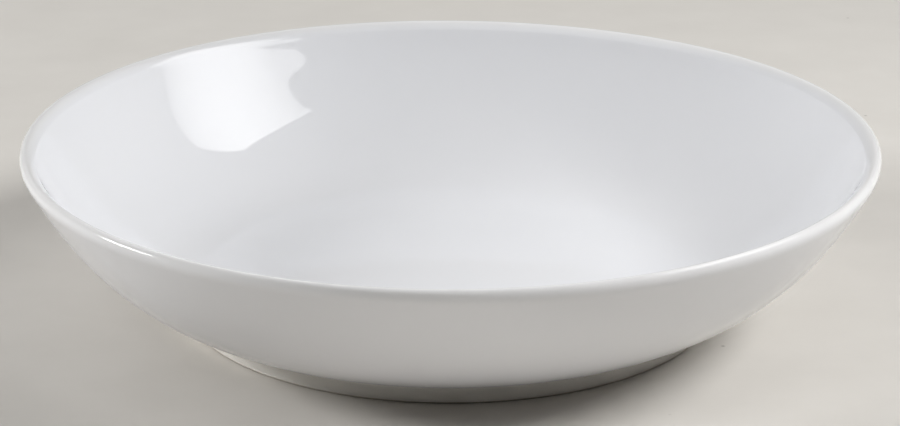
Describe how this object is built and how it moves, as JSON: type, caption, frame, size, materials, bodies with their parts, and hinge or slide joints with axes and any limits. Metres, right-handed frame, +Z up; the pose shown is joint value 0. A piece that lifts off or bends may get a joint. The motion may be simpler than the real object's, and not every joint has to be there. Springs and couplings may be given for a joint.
{
  "type": "dinner bowl",
  "caption": "Round coupe dinner bowl in white glazed porcelain, with a flared wall, rounded lip, flat well and a low foot ring left bare where it stands.",
  "frame": {"origin": "centre of the standing ring, on the plane that the foot rests on", "axes": "+Z up along the axis of revolution; X and Y lie in the standing plane, with -Y towards the viewer of the picture"},
  "size_m": [0.23, 0.23, 0.0475],
  "materials": {
    "bare_porcelain": "matte",
    "white_glaze": "gloss"
  },
  "bodies": {
    "root": {"porcelain_body": "bare_porcelain", "glaze_coat": "white_glaze", "base_glaze": "white_glaze"}
  },
  "joints": []
}
